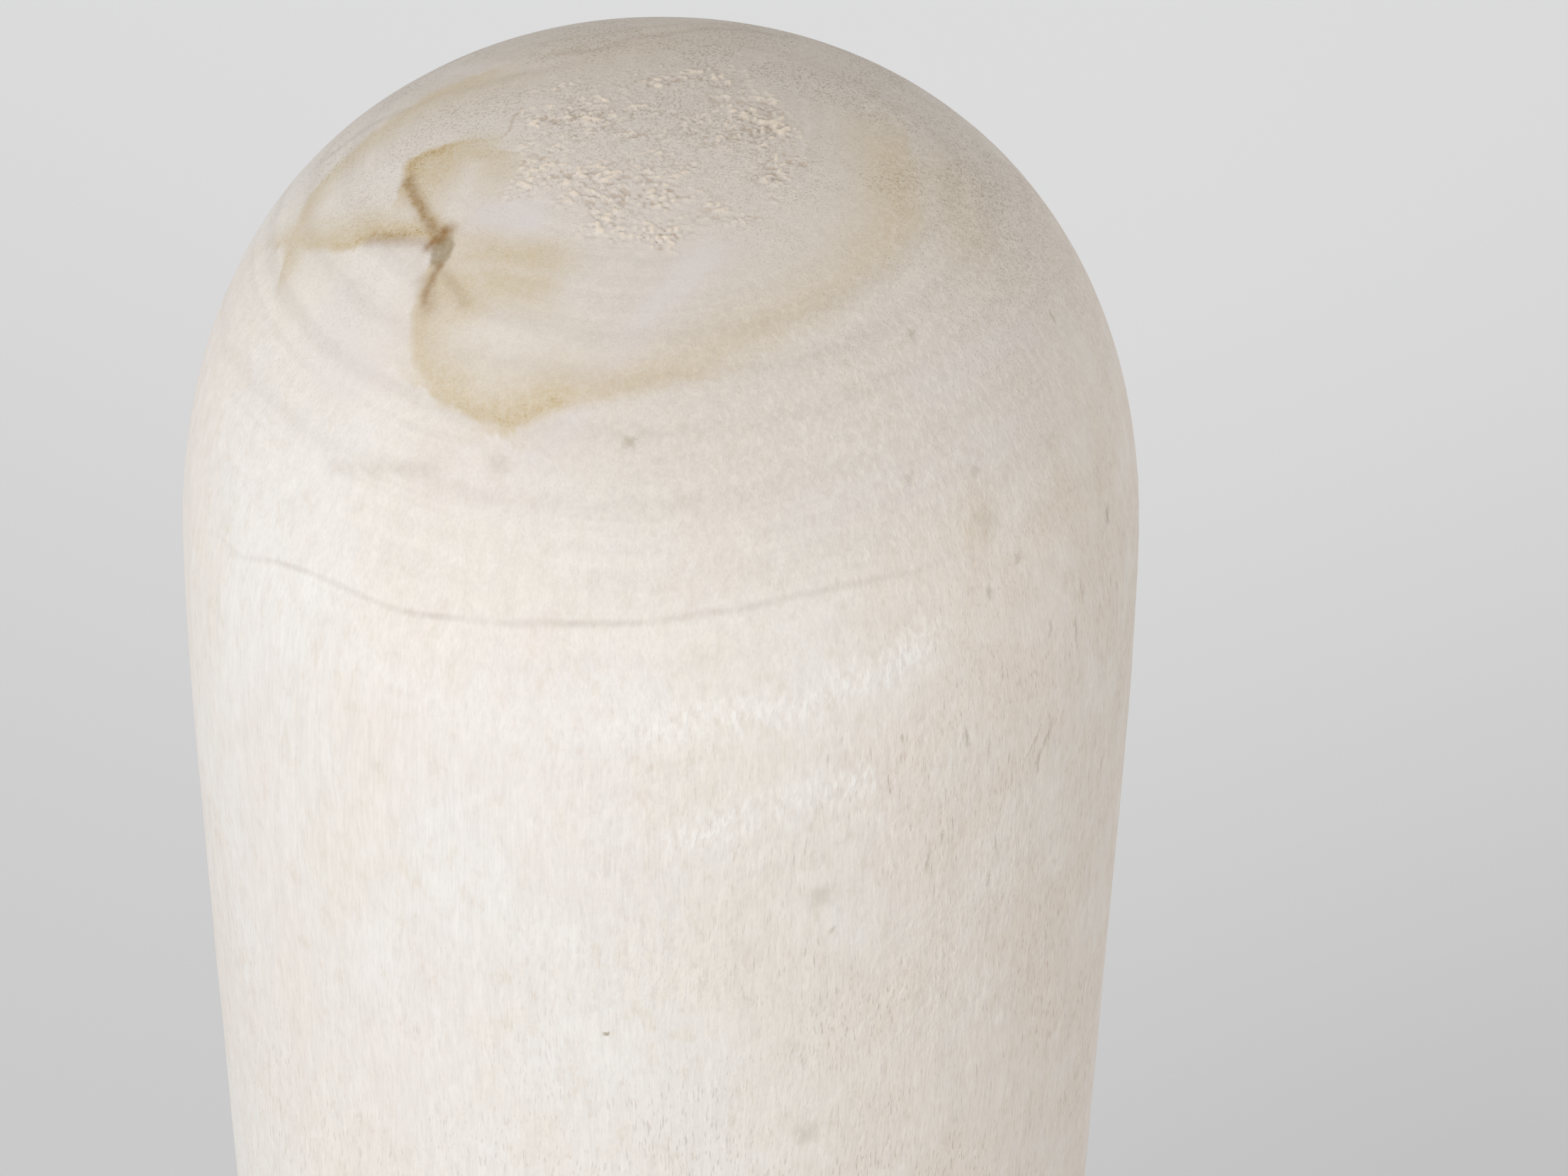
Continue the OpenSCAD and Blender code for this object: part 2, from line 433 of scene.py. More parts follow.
# Small dark marks on the crown map: place, half length and half width in mm, how far the length
# leans to the right of downhill in degrees, and darkness
MARKS = [
    ((-3.7, -41.4), (0.7, 0.75), 0, 0.42),
    ((-19.2, -42.2), (1.0, 1.3), 20, 0.2),
    ((-13.7, -118.8), (0.25, 0.4), 0, 0.8),
    ((32.2, -95), (1.6, 1.5), 0, 0.2),
    ((36.3, -99.6), (0.5, 0.3), -30, 0.35),
    ((28.7, -24.3), (0.7, 0.5), -40, 0.34),
    ((49, -10.2), (0.6, 0.45), 0, 0.34),
    ((68.5, -25.6), (1.1, 0.5), -20, 0.42),
    ((42.6, -132), (1.7, 1.3), 10, 0.2),
    ((66.6, -38.5), (2.3, 0.16), 2, 0.3),
    ((69.4, -43.5), (2.6, 0.2), -3, 0.36),
    ((72.4, -59), (3.0, 0.3), -34, 0.24),
    ((69, -61.5), (2.4, 0.22), -40, 0.26),
    ((62, -47), (1.0, 0.22), -4, 0.3),
    ((58, -66), (1.6, 0.2), -5, 0.3),
    ((43.1, -41.5), (1.7, 1.4), 10, 0.16),
    ((46.9, -49.2), (0.9, 0.45), 0, 0.34),
    ((50.3, -43.1), (0.7, 0.7), 0, 0.3),
    ((39.6, -37.1), (0.6, 0.7), 20, 0.26),
    ((30.5, -41.3), (0.7, 0.8), 0, 0.2),
    ((51.9, -66.6), (1.5, 0.26), 8, 0.4),
    ((72.9, -61.6), (1.7, 0.3), 0, 0.34),
    ((55.2, -80.5), (1.2, 0.24), 0, 0.4),
    ((70.3, -75.9), (1.5, 0.22), 4, 0.34),
    ((54, -84.7), (1.3, 0.24), -4, 0.4),
    ((72.4, -80.7), (1.1, 0.22), 0, 0.34),
]


def path_distance(uv, points):
    """Signed distance in mm from each place to a polyline, left of the way positive, and how far
    along the line that is, from 0 to 1."""
    points = np.asarray(points, float)
    lengths = np.hypot(*np.diff(points, axis=0).T)
    before = travelled(points)
    best = np.full(len(uv), 1e9)
    signed = np.zeros(len(uv))
    share = np.zeros(len(uv))
    for k, (a, b) in enumerate(zip(points[:-1], points[1:])):
        way = (b - a) / lengths[k]
        rel = uv - a
        t = np.clip(rel @ way, 0, lengths[k])
        gap = np.hypot(rel[:, 0] - way[0] * t, rel[:, 1] - way[1] * t)
        nearer = gap < best
        best = np.where(nearer, gap, best)
        left = np.sign(way[0] * rel[:, 1] - way[1] * rel[:, 0])
        signed = np.where(nearer, gap * left, signed)
        share = np.where(nearer, (before[k] + t) / before[-1], share)
    return signed, share


def curve_through(points, per_span=6):
    """A smooth curve through the given points."""
    p = np.asarray(points, float)
    p = np.vstack([2 * p[0] - p[1], p, 2 * p[-1] - p[-2]])
    out = []
    for k in range(1, len(p) - 2):
        for t in np.arange(per_span) / per_span:
            out.append(
                0.5 * (2 * p[k] + (p[k + 1] - p[k - 1]) * t
                       + (2 * p[k - 1] - 5 * p[k] + 4 * p[k + 1] - p[k + 2]) * t ** 2
                       + (3 * p[k] - p[k - 1] - 3 * p[k + 1] + p[k + 2]) * t ** 3)
            )
    out.append(p[-2])
    return np.array(out)


def crown_map(place):
    """Each vertex's place on the crown map, in mm."""
    return place["flat"] * (place["along"] / MM)[:, None]


def wander(xyz, size, amount, seed):
    """A gentle drift for a map, up to amount mm, so that drawn edges are never straight."""
    return amount * np.column_stack([noise(xyz, size, seed), noise(xyz, size, seed + 1)])


def strokes(uv, paths, rise=0.12, fall=None):
    """The strongest of several soft strokes at each place. They fade in over the share rise of
    their length and out over the share fall, which is rise where it isn't given."""
    fall = rise if fall is None else fall
    total = np.zeros(len(uv))
    for half, strength, points in paths:
        d, t = path_distance(uv, curve_through(points))
        ends = smooth(0, rise, t) * smooth(1, 1 - fall, t)
        total = np.maximum(total, strength * ends * np.exp(-(d / half) ** 2))
    return total


def crack_share(uv):
    """How dark each place is from the cracks, which are straight between their points."""
    crack = np.zeros(len(uv))
    for half, dark, points in CRACKS:
        d, _ = path_distance(uv, points)
        crack = np.maximum(crack, dark * np.exp(-(d / half) ** 2))
    return crack


def stain_share(uv):
    """How strongly each place is stained tan: edges that fade one way, over broad soft washes."""
    stain = np.zeros(len(uv))
    for side, soft, strengths, fades, points in STAINS:
        d, t = path_distance(uv, curve_through(points))
        d = d * side
        strength = strengths[0] + (strengths[1] - strengths[0]) * t
        fade = fades[0] + (fades[1] - fades[0]) * t
        # past either end the distance grows lengthwise too, so the stain fades there by itself
        inward = 0.6 * np.exp(-(d / fade) ** 2) + 0.4 * np.exp(-np.maximum(d, 0) / (1.3 * fade))
        stain = np.maximum(stain, strength * smooth(-soft, 0.8 * soft, d) * inward)
    return 1 - (1 - stain) * (1 - strokes(uv, WASHES, 0.4))


def knot_share(uv):
    """1 at the knot's core, falling to 0 at its rim."""
    turn = math.radians(KNOT["tilt"])
    rel = uv - KNOT["at"]
    a = rel[:, 0] * math.cos(turn) + rel[:, 1] * math.sin(turn)
    b = -rel[:, 0] * math.sin(turn) + rel[:, 1] * math.cos(turn)
    gap = np.hypot(a / KNOT["half"][0], b / KNOT["half"][1])
    return smooth(1.25, 0.75, gap)


def torn_share(place):
    """Where the end grain round the crown is torn: clusters inside a ragged disc."""
    xyz = place["xyz"]
    s = place["along"] / MM
    coarse = noise(xyz, (4.5, 2.4, 50), 21)
    ragged = 2.2 * coarse + 1.2 * noise(xyz, (1.8, 1.0, 50), 22)
    inside = smooth(TORN_R + 1.2, TORN_R - 1.6, s + ragged)
    share = 0.16 + 0.4 * noise(xyz, (3.2, 1.8, 50), 23)
    for x, y, half_x, half_y, strength in TORN_CLUSTERS:
        gap = ((xyz[:, 0] / MM - x) / half_x) ** 2 + ((xyz[:, 1] / MM - y) / half_y) ** 2
        share = share + strength * np.exp(-gap)
    return inside * np.clip(share, 0.04, 1)


def torn_fibres(xyz):
    """Stubs of torn fibre, longer from side to side than from front to back, and pits between."""
    short = noise(xyz, (0.46, 0.34, 20), 41)
    stubs = short + 0.45 * noise(xyz, (1.3, 0.8, 20), 42)
    return smooth(0.05, 0.65, stubs) - 0.6 * smooth(-0.15, -0.7, stubs)


def speckle_share(place):
    """Where fibres stand up: on the dome, most to the front right, and down the right flank."""
    s = place["along"] / MM
    lean = np.cos(place["angle"] - math.radians(52))
    band = smooth(18, 27, s) * smooth(84, 52, s)
    patchy = 0.5 + 0.5 * noise(place["xyz"], (14, 14, 9), 31)
    dome = band * np.clip(0.3 + 0.7 * lean, 0, 1) * np.clip(patchy + 0.3, 0, 1)
    to_right = smooth(0.2, 0.75, np.cos(place["angle"] - math.radians(50)))
    flank = smooth(64, 84, s) * smooth(165, 110, s) * to_right
    return np.maximum(0.55 * dome, 0.75 * flank * np.clip(patchy + 0.25, 0, 1))


def head_outside(place):
    """True on the head's outside, False on its underside and in its bore."""
    return place["height"] > head_low.z + HAIR


def head_fields(place):
    xyz = place["xyz"]
    uv = crown_map(place)
    drifting = uv + wander(xyz, 3.2, 0.6, 11) + wander(xyz, 1.1, 0.3, 13)
    fine = uv + wander(xyz, 0.9, 0.25, 17)
    bands = strokes(drifting, FLECK_BANDS)
    fields = {
        "stain": stain_share(drifting),
        "arcs": strokes(drifting, ARCS),
        "pale": strokes(drifting, PALE_BANDS, 0.2),
        "crack": crack_share(fine),
        "knot": knot_share(fine),
        "stub": torn_share(place) * torn_fibres(xyz),
        "speckle": np.maximum(speckle_share(place), bands),
        "bands": bands,
    }
    return {field: values * head_outside(place) for field, values in fields.items()}


# Heights of the head's relief
HEAD_SWELL = 0.10 * MM
HEAD_RIPPLE = 0.04 * MM
HEAD_SINK = 0.12 * MM
CROWN_SINK = 0.29 * MM
TORN_LIFT = 0.37 * MM
SPECKLE_LIFT = 0.06 * MM
BAND_LIFT = 0.09 * MM
KNOT_SINK = 0.08 * MM


def head_relief(place):
    xyz = place["xyz"]
    uv = crown_map(place)
    lift = HEAD_SWELL * noise(xyz, 26, 1) + HEAD_RIPPLE * noise(xyz, 9, 2)
    # the whole surface stays inside the turned size, so it is lowered most under the torn stubs
    lift -= HEAD_SINK + CROWN_SINK * smooth(36 * MM, 20 * MM, place["along"])
    lift += TORN_LIFT * torn_share(place) * torn_fibres(xyz)
    flecks = noise(xyz, (0.7, 0.7, 1.5), 51)
    lift += SPECKLE_LIFT * speckle_share(place) * smooth(0.1, 0.7, flecks)
    fibres = noise(xyz, (0.9, 0.9, 2.2), 53)
    lift += BAND_LIFT * strokes(uv, FLECK_BANDS) * fibres
    lift -= KNOT_SINK * knot_share(uv) * (1 + 0.5 * noise(xyz, 0.8, 52))
    return lift * head_outside(place)


# ---------------------------------------------------------------- the body's shape
def body_radius(z):
    low = np.clip((WAIST_Z - z) / (WAIST_Z - FOOT_TOP_Z), 0, 1)
    high = smooth(WAIST_Z, SHOULDER_Z, z)
    r = WAIST_R + (FOOT_R - WAIST_R) * low ** FLARE_POWER + (SHOULDER_R - WAIST_R) * high
    for line_z in LINES:
        # a round-bottomed turning line, cut LINE_DEPTH deep
        across = LINE_R ** 2 - (z - line_z) ** 2
        at_line = np.sqrt(np.maximum(across, 0)) - (LINE_R - LINE_DEPTH)
        r = r - np.maximum(at_line, 0)
    return r


def trunk_heights():
    """Heights down the trunk, closer together at the turning lines."""
    heights, z = [], SHOULDER_Z
    while z > FOOT_TOP_Z:
        heights.append(z)
        gap = min(abs(z - line_z) for line_z in LINES)
        z -= float(np.interp(gap / MM, *TRUNK_SPACING)) * MM
    heights.append(FOOT_TOP_Z)
    return np.array(heights)


def body_outline():
    outline = Outline()
    inside = AROUND // 4
    # the socket, with the groove for the peg's bead
    socket_r = PEG_R + RUNNING_GAP
    socket_floor = peg_low.z - PEG_END_GAP
    groove = BEAD_SECTION_R + BEAD_ROOM
    centre_r = BEAD_R - BEAD_SECTION_R
    half = math.sqrt(groove ** 2 - (socket_r - centre_r) ** 2)
    swing = np.linspace(-half, half, 13)
    groove_r = centre_r + np.sqrt(groove ** 2 - swing ** 2)
    outline.add([(END_TIP_R, socket_floor), (socket_r, socket_floor)], 6, inside)
    outline.add([(socket_r, socket_floor), (socket_r, BEAD_Z - half)], 12, inside)
    outline.add(np.column_stack([groove_r, BEAD_Z + swing]), None, inside)
    mouth = (socket_r, BODY_TOP - SOCKET_BEVEL)
    rim = (socket_r + SOCKET_BEVEL, BODY_TOP)
    outline.add([(socket_r, BEAD_Z + half), mouth], 12, inside)
    outline.add([mouth, rim], 1, inside)
    # the collar and the shoulder
    top_edge = COLLAR_R - COLLAR_ROUND
    collar_low = BODY_TOP - COLLAR_ROUND
    outline.add([rim, (top_edge, BODY_TOP)], 3, AROUND // 2)
    collar = round_points(COLLAR_ROUND, COLLAR_ROUND, 2)[::-1] + [top_edge, collar_low]
    outline.add(collar, 0.3, AROUND)
    outline.add([(COLLAR_R, collar_low), (COLLAR_R, BODY_TOP - COLLAR_H)], 0.9, AROUND)
    shoulder = round_points(SHOULDER_R - COLLAR_R, SHOULDER_H, SHOULDER_POWER)[::-1]
    outline.add(shoulder + [COLLAR_R, SHOULDER_Z], 0.9, AROUND)
    # the trunk and the foot
    z = trunk_heights()
    outline.add(np.column_stack([body_radius(z), z]), None, AROUND)
    foot_low = WOOD_Z + FOOT_ROUND
    outline.add([(FOOT_R, FOOT_TOP_Z), (FOOT_R, foot_low)], 1.3, AROUND)
    foot = round_points(FOOT_ROUND, FOOT_ROUND, 2) * [1, -1] + [FOOT_R - FOOT_ROUND, foot_low]
    outline.add(foot, 0.4, AROUND)
    # the recess for the felt
    recess_r = FELT_R + FELT_GAP
    outline.add([(FOOT_R - FOOT_ROUND, WOOD_Z), (recess_r, WOOD_Z)], 1.2, AROUND // 2)
    outline.add([(recess_r, WOOD_Z), (recess_r, felt_high.z)], 1, AROUND // 2)
    outline.add([(recess_r, felt_high.z), (END_TIP_R, felt_high.z)], 8, AROUND // 4)
    return outline


def side_map(place):
    """Each vertex's place on the body's unrolled side, in mm: right of the front, and up."""
    angle = (place["angle"] + math.pi) % (2 * math.pi) - math.pi
    return np.column_stack([angle * WAIST_R / MM, place["xyz"][:, 2] / MM])


def knot_gap(uv, half):
    """Distance from the body's knot's centre, as a multiple of the half sizes."""
    x, z = BODY_KNOT["at"]
    return np.hypot((uv[:, 0] - x) / half[0], (uv[:, 1] - z) / half[1])


def eye_share(uv):
    """1 in the body's knot's core, falling to 0 at its rim."""
    return smooth(1.2, 0.8, knot_gap(uv, BODY_KNOT["half"]))


def eye_rim(uv):
    """1 on the dark line round the body's knot."""
    return np.exp(-((knot_gap(uv, BODY_KNOT["half"]) - 1.05) / 0.13) ** 2)


def painted_wood(place):
    """1 on the body's outside, 0 in its socket and recess."""
    r = place["radius"]
    past_felt = r > FELT_R + FELT_GAP + HAIR
    past_peg = (place["height"] > MID_BODY_Z) & (r > PEG_R + 2 * MM)
    return (past_felt | past_peg).astype(float)


def body_fields(place):
    xyz = place["xyz"]
    uv = side_map(place) + wander(xyz, 5, 0.6, 61) + wander(xyz, 1.4, 0.25, 63)
    fine = side_map(place) + wander(xyz, 1.0, 0.3, 67)
    halo = 0.36 * np.exp(-knot_gap(uv, BODY_KNOT["halo"]) ** 2)
    patches = noise(xyz, (16, 16, 40), 65)
    shown = painted_wood(place)
    fields = {
        "stain": np.maximum(strokes(uv, BODY_STREAKS, 0.12, 0.45), halo),
        "arcs": strokes(uv, BODY_LINES, 0.1),
        "crack": 0.34 * eye_rim(fine),
        "knot": 0.6 * eye_share(fine),
        "speckle": 0.5 * smooth(0.3, 0.8, patches),
    }
    painted = {field: values * shown for field, values in fields.items()}
    # the head's own fields are nothing here
    painted.update({field: np.zeros(len(uv)) for field in ("pale", "stub", "bands")})
    return painted


# Heights of the body's relief
BODY_SWELL = 0.07 * MM
BODY_SINK = 0.08 * MM
BODY_RIPPLE = 0.03 * MM
CHISEL_LIFT = 0.02 * MM
EYE_SINK = 0.3 * MM
EYE_RIM_SINK = 0.15 * MM


def body_relief(place):
    xyz = place["xyz"]
    lift = BODY_SWELL * noise(xyz, (24, 24, 60), 71) - BODY_SINK
    lift += BODY_RIPPLE * noise(xyz, (2.2, 2.2, 14), 72)
    # faint rings left by the turning chisel
    lift += CHISEL_LIFT * noise(xyz * [0, 0, 1], (1000, 1000, 2.6), 73)
    uv = side_map(place)
    lift -= EYE_SINK * eye_share(uv) + EYE_RIM_SINK * eye_rim(uv)
    return lift * painted_wood(place)


# ---------------------------------------------------------------- the felt foot's shape
def felt_outline():
    outline = Outline()
    top_r = FELT_R - FELT_DRAFT
    edge_r, edge_z = FELT_R - FELT_EDGE, felt_low.z + FELT_EDGE
    outline.add([(END_TIP_R, felt_high.z), (top_r, felt_high.z)], 4, AROUND // 2)
    outline.add([(top_r, felt_high.z), (FELT_R, edge_z)], 0.6, AROUND)
    low_edge = round_points(FELT_EDGE, FELT_EDGE, 2) * [1, -1] + [edge_r, edge_z]
    outline.add(low_edge, 0.3, AROUND)
    outline.add([(edge_r, felt_low.z), (END_TIP_R, felt_low.z)], 0.9, AROUND)
    return outline


def felt_relief(place):
    xyz = place["xyz"]
    shown = place["height"] < felt_high.z - HAIR
    coarse = 0.06 * MM * noise(xyz, 2.4, 81)
    fine = 0.05 * MM * noise(xyz, 0.9, 82)
    # the felt is lowered by as much as its lumps are high
    return (coarse + fine - 0.11 * MM) * shown


# ---------------------------------------------------------------- materials
def paint(red, green, blue):
    """A colour given as it looks on a screen, 0 to 255, as the linear value that shaders use."""
    def linear(c):
        c /= 255
        return c / 12.92 if c <= 0.04045 else ((c + 0.055) / 1.055) ** 2.4
    return (linear(red), linear(green), linear(blue), 1.0)


# Surface colours
CHALK = paint(242, 238, 233)
CREAM = paint(239, 231, 221)
BLUSH = paint(241, 231, 225)
RIGHT_TAN = paint(236, 224, 211)
MOTTLE_TAN = paint(224, 211, 192)
END_GRAIN = paint(218, 209, 199)
# painted shade: the end grain's grey on the back of the dome, darker as if less light reached it
PAINTED_BACK_SHADE = paint(197, 188, 177)
STAIN = paint(204, 184, 144)
DEEP_STAIN = paint(180, 152, 110)
PALE_BAND = paint(224, 216, 214)
RING_BROWN = paint(166, 150, 138)
KNOT_BROWN = paint(160, 143, 114)
CRACK_BROWN = paint(148, 112, 68)
PORE_BROWN = paint(158, 131, 102)
MARK_BROWN = paint(156, 142, 116)
# partly painted highlight: the cream on the tops of raised flecks
FLECK_CREAM_AND_HIGHLIGHT = paint(246, 238, 223)
BAND_WHITE = paint(252, 249, 244)
# partly painted highlight: the cream on the tops of the torn stubs
STUB_CREAM_AND_HIGHLIGHT = paint(240, 224, 204)
# painted shade in the torn end grain's pits and between raised flecks
PAINTED_PIT_SHADE = paint(178, 152, 122)
PEG_LIGHT = paint(206, 172, 126)
PEG_DARK = paint(178, 138, 92)
PEG_PORE = paint(112, 80, 50)
FELT_DARK = paint(96, 93, 90)
FELT_LIGHT = paint(140, 136, 131)
FELT_MOTTLE = paint(112, 106, 100)
FLOOR_LIGHT = paint(217, 217, 217)
FLOOR_DARK = paint(214, 214, 215)

# The log's centre line, beside the turning axis, mm
PITH = (-1.3, 5.2, 0.0)
# The darker growth-ring lines: radius round the pith and half width in mm, and strength
RING_LINES = [
    (55.3, 0.5, 0.27), (56.8, 1.2, 0.07), (48.9, 1.1, 0.11), (43.2, 1.3, 0.1), (38.4, 1.1, 0.09),
    (33.0, 1.4, 0.08),
]
# How far the body's wood lies in the log from the head's, mm
BODY_OFFSET = (140, 60, 310)
# How much each drawn or grown feature shows
PALE_SHOWS = 0.85
KNOT_SHOWS = 0.8
PORES_SHOW = 0.42
# FLECKS_SHOW sets the cream and painted highlight on raised flecks, FLECK_SHADOWS_SHOW the painted
# shadow between them
FLECKS_SHOW = 0.4
FLECK_SHADOWS_SHOW = 0.2


class Shader:
    """Builds one material's nodes. Each method adds a node and returns its output."""

    def __init__(self, name):
        self.material = bpy.data.materials.new(name)
        self.material.use_nodes = True
        self.tree = self.material.node_tree
        self.tree.nodes.clear()

    def node(self, kind, inputs=None, **settings):
        made = self.tree.nodes.new(kind)
        for key, value in settings.items():
            setattr(made, key, value)
        for key, value in (inputs or {}).items():
            if isinstance(value, bpy.types.NodeSocket):
                self.tree.links.new(value, made.inputs[key])
            else:
                made.inputs[key].default_value = value
        return made

    def math(self, operation, a, b=0.0, clamp=False, plus=0.0):
        inputs = {0: a, 1: b, 2: plus}
        return self.node("ShaderNodeMath", inputs, operation=operation, use_clamp=clamp).outputs[0]

    def times(self, a, b, clamp=False):
        return self.math("MULTIPLY", a, b, clamp)

    def times_plus(self, a, b, plus):
        return self.math("MULTIPLY_ADD", a, b, plus=plus)

    def plus(self, a, b):
        return self.math("ADD", a, b)

    def most(self, a, b):
        return self.math("MAXIMUM", a, b)

    def vector(self, operation, a, b=(0, 0, 0)):
        return self.node("ShaderNodeVectorMath", {0: a, 1: b}, operation=operation)

    def scaled(self, vector, by):
        return self.vector("MULTIPLY", vector, by).outputs[0]

    def added(self, a, b):
        return self.vector("ADD", a, b).outputs[0]

    def stretched(self, vector, up):
        """vector with its noise drawn out along the grain, to 1 / up times its size."""
        return self.scaled(vector, (1, 1, up))

    def dot(self, a, b):
        return self.vector("DOT_PRODUCT", a, b).outputs["Value"]

    def object_mm(self):
        """The place on the object, in mm."""
        place = self.node("ShaderNodeTexCoord").outputs["Object"]
        return self.scaled(place, (1 / MM, 1 / MM, 1 / MM))

    def noise(self, vector, scale, detail=2.0, roughness=0.5, distortion=0.0):
        inputs = {
            "Vector": vector, "Scale": scale, "Detail": detail, "Roughness": roughness,
            "Distortion": distortion,
        }
        return self.node("ShaderNodeTexNoise", inputs).outputs["Fac"]

    def drift(self, vector, scale, amount):
        """vector moved about by soft noise of that scale, up to about amount each way."""
        inputs = {"Vector": vector, "Scale": scale, "Detail": 1.0}
        made = self.node("ShaderNodeTexNoise", inputs)
        centred = self.added(made.outputs["Color"], (-0.5, -0.5, -0.5))
        return self.added(vector, self.scaled(centred, (2 * amount, 2 * amount, 2 * amount)))

    def cells(self, vector, scale):
        inputs = {"Vector": vector, "Scale": scale}
        return self.node("ShaderNodeTexVoronoi", inputs, feature="F1").outputs["Distance"]

    def curve(self, value, low, high, to_low=0.0, to_high=1.0):
        """An S-curve from to_low at low to to_high at high."""
        inputs = {
            "Value": value, "From Min": low, "From Max": high, "To Min": to_low, "To Max": to_high,
        }
        made = self.node("ShaderNodeMapRange", inputs, interpolation_type="SMOOTHSTEP")
        return made.outputs["Result"]

    def mix(self, share, a, b, blend="MIX"):
        inputs = {0: share, 6: a, 7: b}
        return self.node("ShaderNodeMix", inputs, data_type="RGBA", blend_type=blend).outputs[2]

    def field(self, name):
        """A value that the mesh carries."""
        return self.node("ShaderNodeAttribute", attribute_name=name).outputs["Fac"]

    def finish(self, colour, height, depth, strength, roughness, specular, sheen=0.0):
        """The surface, with bumps up to depth metres high. Returns the material."""
        inputs = {"Strength": strength, "Distance": depth, "Height": height}
        bump = self.node("ShaderNodeBump", inputs)
        surface = self.node(
            "ShaderNodeBsdfPrincipled",
            {
                "Base Color": colour,
                "Roughness": roughness,
                "Specular IOR Level": specular,
                "Sheen Weight": sheen,
                "Sheen Roughness": 0.4,
                "Normal": bump.outputs["Normal"],
            },
        )
        self.node("ShaderNodeOutputMaterial", {"Surface": surface.outputs["BSDF"]})
        return self.material


head_rings = head_outline()


def place_on_head(at):
    """The point of the head's plain surface, in mm, that a place on the crown map stands for."""
    s = math.hypot(*at)
    r = float(np.interp(s * MM, head_rings.along(), head_rings.radius)) / MM
    z = float(np.interp(s * MM, head_rings.along(), head_rings.height)) / MM
    return Vector((r * at[0] / s, r * at[1] / s, z))


class Wood(Shader):
    """What the wood's layers work with. Grain runs up +Z, so it shows as streaks on a side and as
    dots on a top. Each add_ function below returns the colour with its layer over it."""

    def __init__(self, name, offset):
        super().__init__(name)
        self.own = self.object_mm()
        self.x, self.y, self.z = self.node("ShaderNodeSeparateXYZ", {0: self.own}).outputs
        self.mm = self.added(self.own, offset)
        self.wavy = self.drift(self.mm, 0.03, 1.6)
        self.clouds = self.noise(self.mm, 0.08, 3, 0.6)
        normal = self.node("ShaderNodeNewGeometry").outputs["Normal"]
        # 1 where the surface faces up, 0 where it is upright
        self.up = self.node("ShaderNodeSeparateXYZ", {0: normal}).outputs["Z"]
        # the limewash lies thickest on the dome, and blurs the grain there
        crisp = self.curve(self.z, WIDE_Z / MM + 6, WIDE_Z / MM - 64, 0.35, 1.0)
        self.crisp = self.most(crisp, self.times(self.curve(self.x, 8, 44), 0.7))


def add_patches(s):
    """Broad patches of chalk, cream and blush, tanner to the right."""
    cream = s.noise(s.stretched(s.mm, 0.5), 0.05, 4, 0.55)
    colour = s.mix(s.curve(cream, 0.4, 0.62, 0, 0.6), CHALK, CREAM)
    elsewhere = s.stretched(s.added(s.mm, (37, 11, 5)), 0.45)
    blush = s.noise(elsewhere, 0.06, 4, 0.55)
    colour = s.mix(s.curve(blush, 0.44, 0.62, 0, 0.45), colour, BLUSH)
    cloudy = s.curve(s.clouds, 0.3, 0.62, 0.45, 0.95)
    return s.mix(s.times(s.curve(s.x, -5, 46), cloudy), colour, RIGHT_TAN)


def add_end_grain_and_back_shade(s, colour):
    """Greyer end grain on top, paler to the front left, and painted shade that makes it darker to
    the back.
    """
    top = s.curve(s.up, 0.16, 0.96)
    behind = s.curve(s.y, -18, 40)
    front_left = s.times(s.curve(s.x, 6, -36), s.curve(s.y, 30, -10))
    bare = s.times(top, s.times_plus(front_left, -0.55, 0.95))
    # painted shade: towards the back, the grey on top is mixed to the darker colour
    return s.mix(bare, colour, s.mix(behind, END_GRAIN, PAINTED_BACK_SHADE))


def add_mottle(s, colour):
    """Small tan and white mottling, strongest on the sides."""
    mottle = s.noise(s.stretched(s.mm, 0.55), 0.5, 4, 0.7)
    low = s.curve(s.up, 0.8, 0.3, 0.3, 1.0)
    tan = s.times(s.curve(mottle, 0.5, 0.72, 0, 0.32), low)
    white = s.times(s.curve(mottle, 0.48, 0.3, 0, 0.26), low)
    return s.mix(white, s.mix(tan, colour, MOTTLE_TAN), BAND_WHITE)


